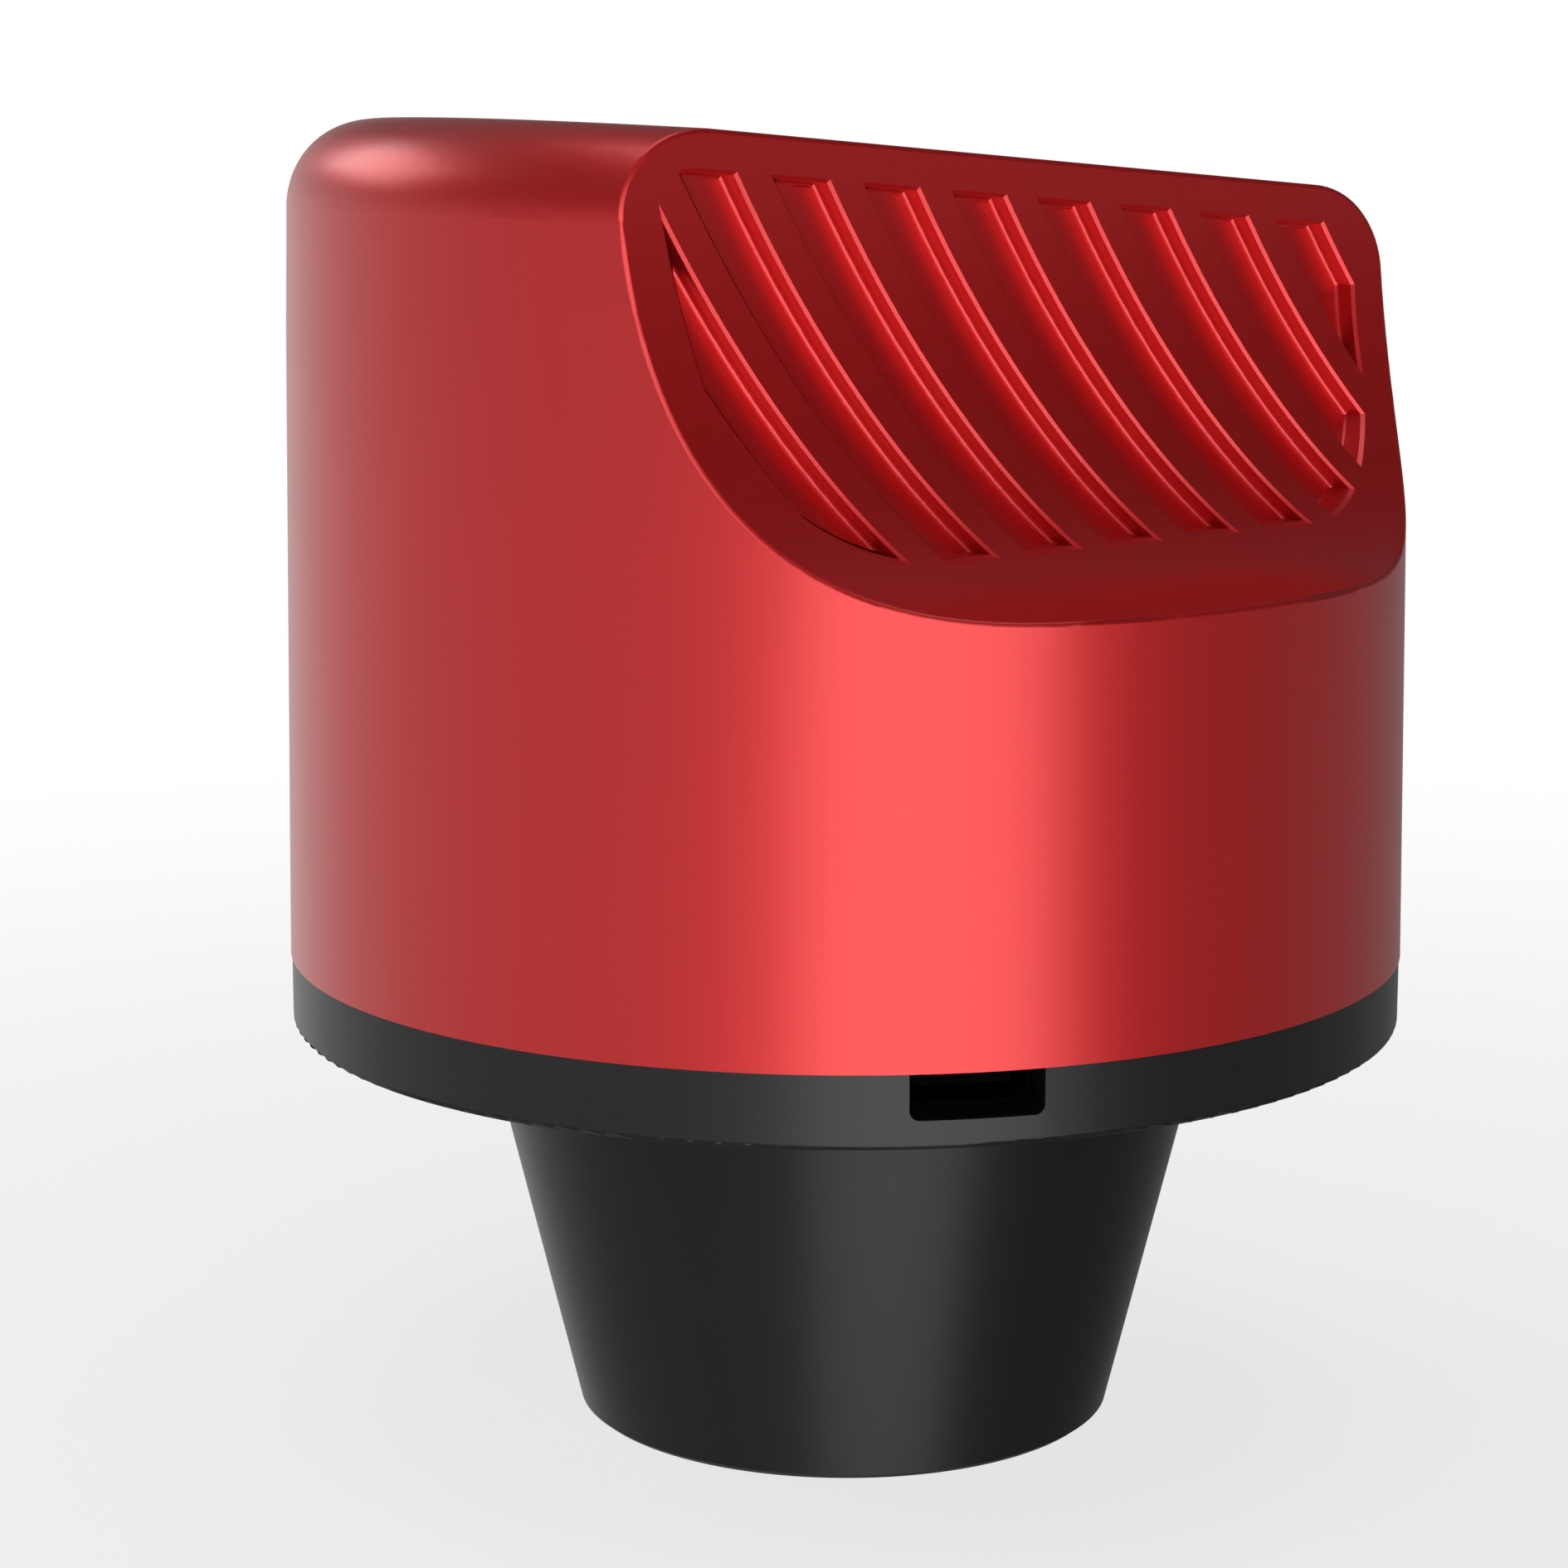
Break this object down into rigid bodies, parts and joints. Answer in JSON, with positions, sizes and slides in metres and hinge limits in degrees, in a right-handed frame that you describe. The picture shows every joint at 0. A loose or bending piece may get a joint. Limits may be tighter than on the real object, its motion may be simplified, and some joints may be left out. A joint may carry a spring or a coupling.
{
  "type": "cooled camera head",
  "caption": "Cooled camera head: drum housing with two louvred side scoops and a slanted top, base ring with a USB-C port, tapered nosepiece, sensor chamber, cooler and fan.",
  "frame": {"origin": "centre of the nosepiece's end face, the lowest face of the part", "axes": "+Z along the optical axis, from the nosepiece to the slanted top; the ridge runs along Y with its high end at -Y; the two louvred scoops face +X and -X"},
  "size_m": [0.084, 0.084, 0.0982],
  "materials": {
    "red_anodised": "satin",
    "black_anodised": "satin",
    "rubber": "matte",
    "black_steel": "satin",
    "port_shell": "satin",
    "black_plastic": "matte",
    "circuit_board": "satin",
    "chip_plastic": "matte",
    "connector_plastic": "satin",
    "brass": "satin",
    "steel": "satin",
    "glass": "clear",
    "desiccant": "matte",
    "ceramic": "matte",
    "sensor": "gloss",
    "ribbon": "satin",
    "thermal_pad": "matte",
    "copper": "satin",
    "foam": "matte",
    "pellet": "matte",
    "lead_insulation": "satin",
    "aluminium": "satin",
    "magnet": "matte",
    "blade": "matte"
  },
  "bodies": {
    "body": {"housing": "red_anodised", "base_ring": "black_anodised", "nosepiece": "black_anodised", "nose_gasket": "rubber", "body_o_ring": "rubber", "housing_screws": "black_steel", "usb_c_shell": "port_shell", "usb_c_tongue": "black_plastic", "main_board": "circuit_board", "board_chips": "chip_plastic", "board_connectors": "connector_plastic", "board_standoffs": "brass", "board_screws": "steel", "chamber_body": "black_anodised", "chamber_window": "glass", "window_gasket": "rubber", "window_retainer": "black_anodised", "chamber_o_ring": "rubber", "chamber_standoffs": "brass", "chamber_screws": "steel", "heat_sink_screws": "steel", "desiccant_plug": "brass", "desiccant": "desiccant", "image_sensor": "ceramic", "sensor_die": "sensor", "sensor_glass": "glass", "sensor_board": "circuit_board", "sensor_board_screws": "steel", "sensor_ribbon": "ribbon", "ribbon_seal": "rubber", "thermistor": "chip_plastic", "thermal_pad": "thermal_pad", "cold_finger": "copper", "insulation_ring": "foam", "tec_cold_plate": "ceramic", "tec_hot_plate": "ceramic", "tec_pellets": "pellet", "tec_leads": "lead_insulation", "heat_sink": "aluminium", "fan_frame": "black_plastic", "fan_bearings": "steel", "fan_stator": "steel", "fan_coils": "copper", "fan_screws": "steel", "fan_lead": "lead_insulation", "shutter_motor": "black_plastic", "shutter_screws": "steel"},
    "fan": {"fan_rotor": "black_plastic", "fan_shaft": "steel", "fan_magnet": "magnet"},
    "shutter": {"shutter_blade": "blade", "shutter_shaft": "steel"}
  },
  "joints": [
    {"name": "fan_spin", "type": "hinge", "parent": "body", "child": "fan", "pos_m": [0, 0, 0], "axis": [0, 0, 1], "continuous": true},
    {"name": "shutter_swing", "type": "hinge", "parent": "body", "child": "shutter", "pos_m": [-0.02511, 0.0145, 0.0331], "axis": [0, 0, -1], "range_deg": [0, 45]}
  ]
}
